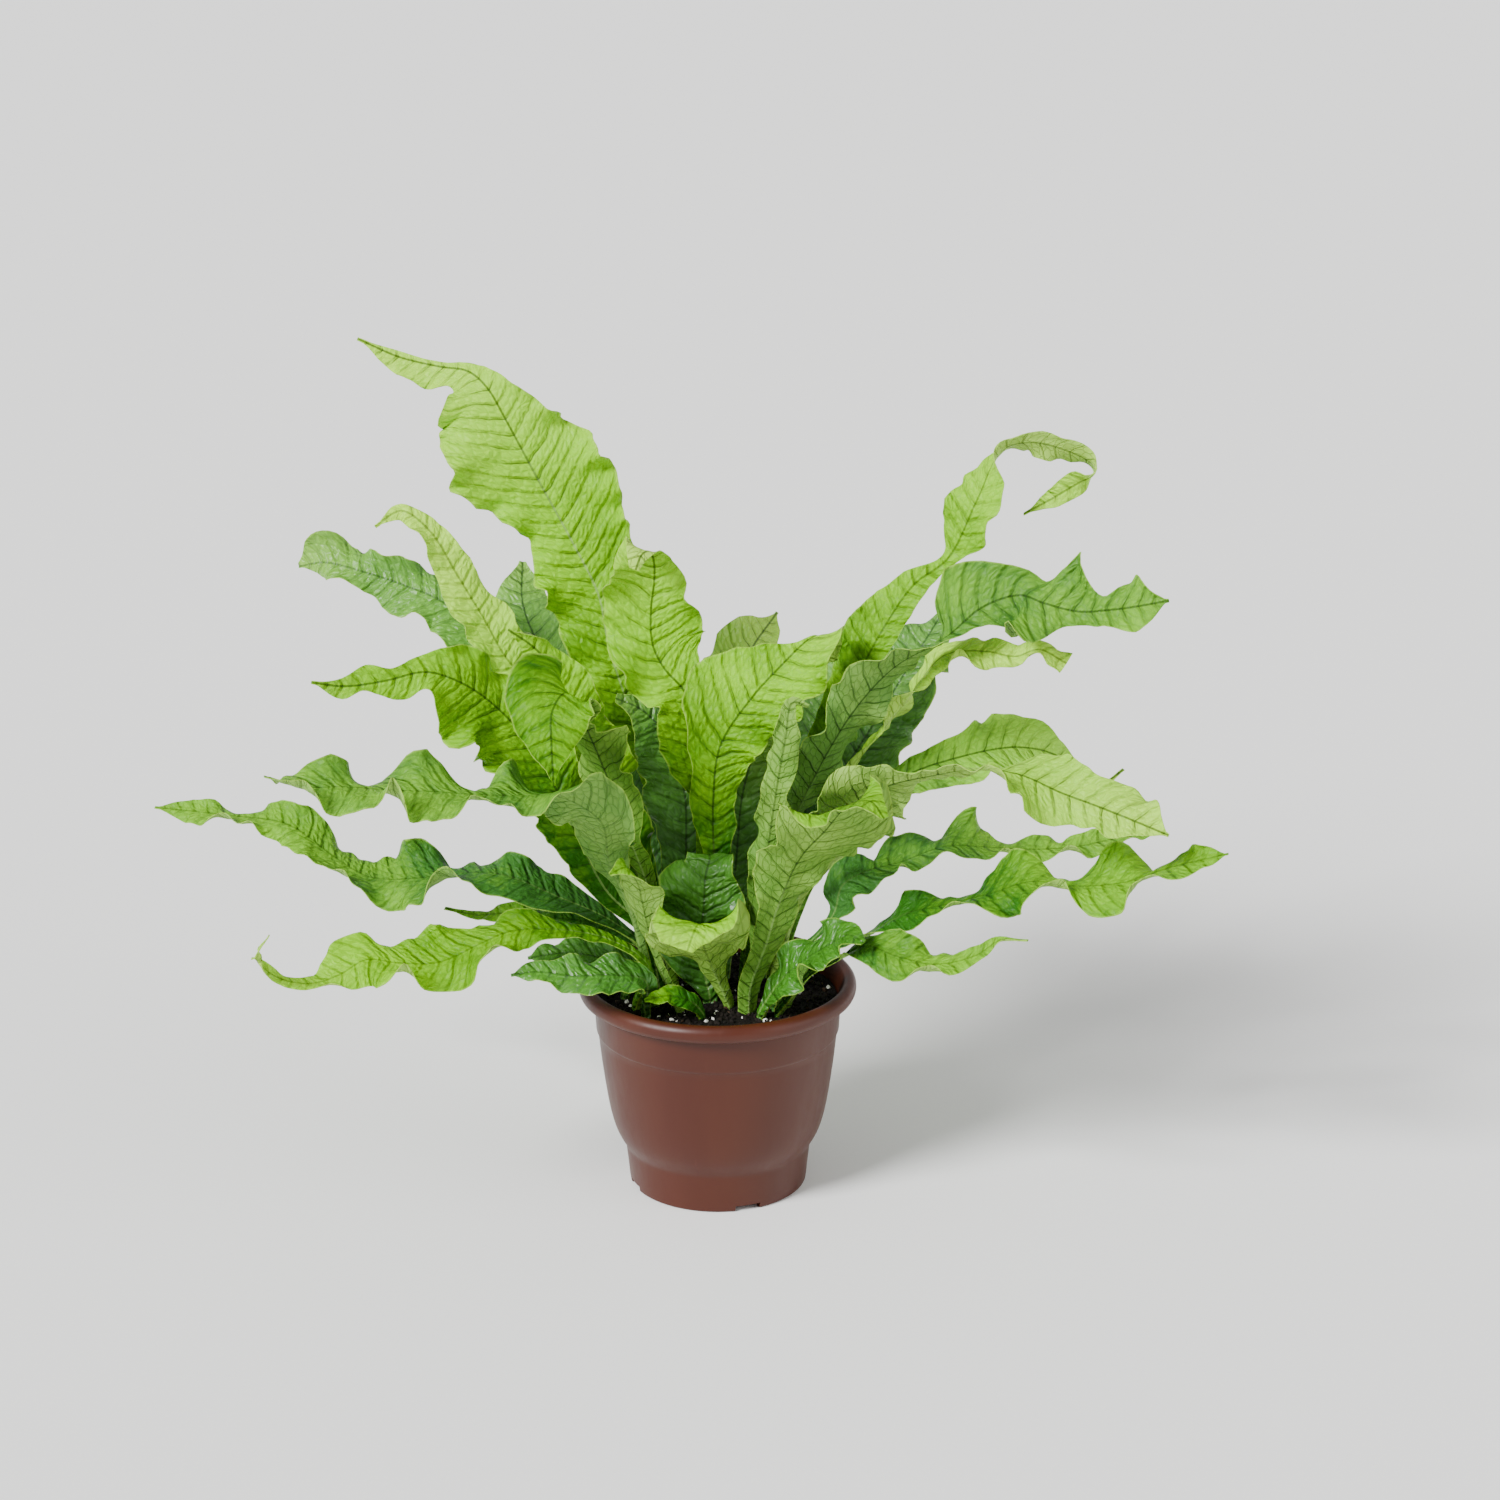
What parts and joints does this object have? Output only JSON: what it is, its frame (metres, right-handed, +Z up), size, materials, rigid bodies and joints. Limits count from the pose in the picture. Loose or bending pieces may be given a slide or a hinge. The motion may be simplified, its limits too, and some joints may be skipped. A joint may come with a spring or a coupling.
{
  "type": "potted crocodile fern",
  "caption": "Crocodile fern with long waved strap fronds that fan out from dark compost in a tapered terracotta-brown plastic nursery pot",
  "frame": {"origin": "centre of the pot's flat underside, on its turning axis, at the level that it stands on", "axes": "+Z up along the pot's axis; +X along the longest spread of the fronds, to the right as the picture sees it; the front looks along -Y"},
  "size_m": [0.5726, 0.2892, 0.4459],
  "materials": {
    "pot_plastic": "satin moulded plastic, terracotta brown",
    "compost": "moist peat compost, nearly black, with bits of bark and perlite",
    "leaf_fresh": "leathery fern leaf, fresh green with dark net veins, soft sheen above and matt below",
    "leaf_deep": "leathery fern leaf, deep green with dark net veins",
    "leaf_cool": "leathery fern leaf, slightly bluish green with dark net veins"
  },
  "bodies": {
    "root": {"pot": "pot_plastic", "compost": "compost", "frond_tall_left": "leaf_fresh", "frond_centre_left": "leaf_fresh", "frond_centre": "leaf_fresh", "frond_tall_right": "leaf_fresh", "frond_left_upright": "leaf_fresh", "frond_left_high": "leaf_cool", "frond_left_inner": "leaf_fresh", "frond_left_middle": "leaf_fresh", "frond_left_drooping": "leaf_fresh", "frond_left_ribbon": "leaf_fresh", "frond_left_long": "leaf_fresh", "frond_left_low": "leaf_fresh", "frond_left_thin": "leaf_fresh", "frond_high_right": "leaf_fresh", "frond_high_right_small": "leaf_fresh", "frond_front_right_broad": "leaf_fresh", "frond_right_behind": "leaf_fresh", "frond_right_middle": "leaf_fresh", "frond_right_long": "leaf_fresh", "frond_right_low": "leaf_fresh", "frond_front_right": "leaf_fresh", "frond_narrow_upright": "leaf_deep", "frond_front_curl": "leaf_fresh", "frond_small_folded": "leaf_fresh", "frond_base_small": "leaf_fresh", "frond_right_rim": "leaf_deep", "frond_left_rim": "leaf_deep", "frond_left_rim_back": "leaf_deep", "frond_crown_left": "leaf_deep", "frond_crown_back": "leaf_deep", "frond_crown_front": "leaf_deep", "frond_back_right": "leaf_cool", "frond_behind_right": "leaf_cool", "frond_back_centre": "leaf_cool", "frond_back_left": "leaf_cool"}
  },
  "joints": []
}
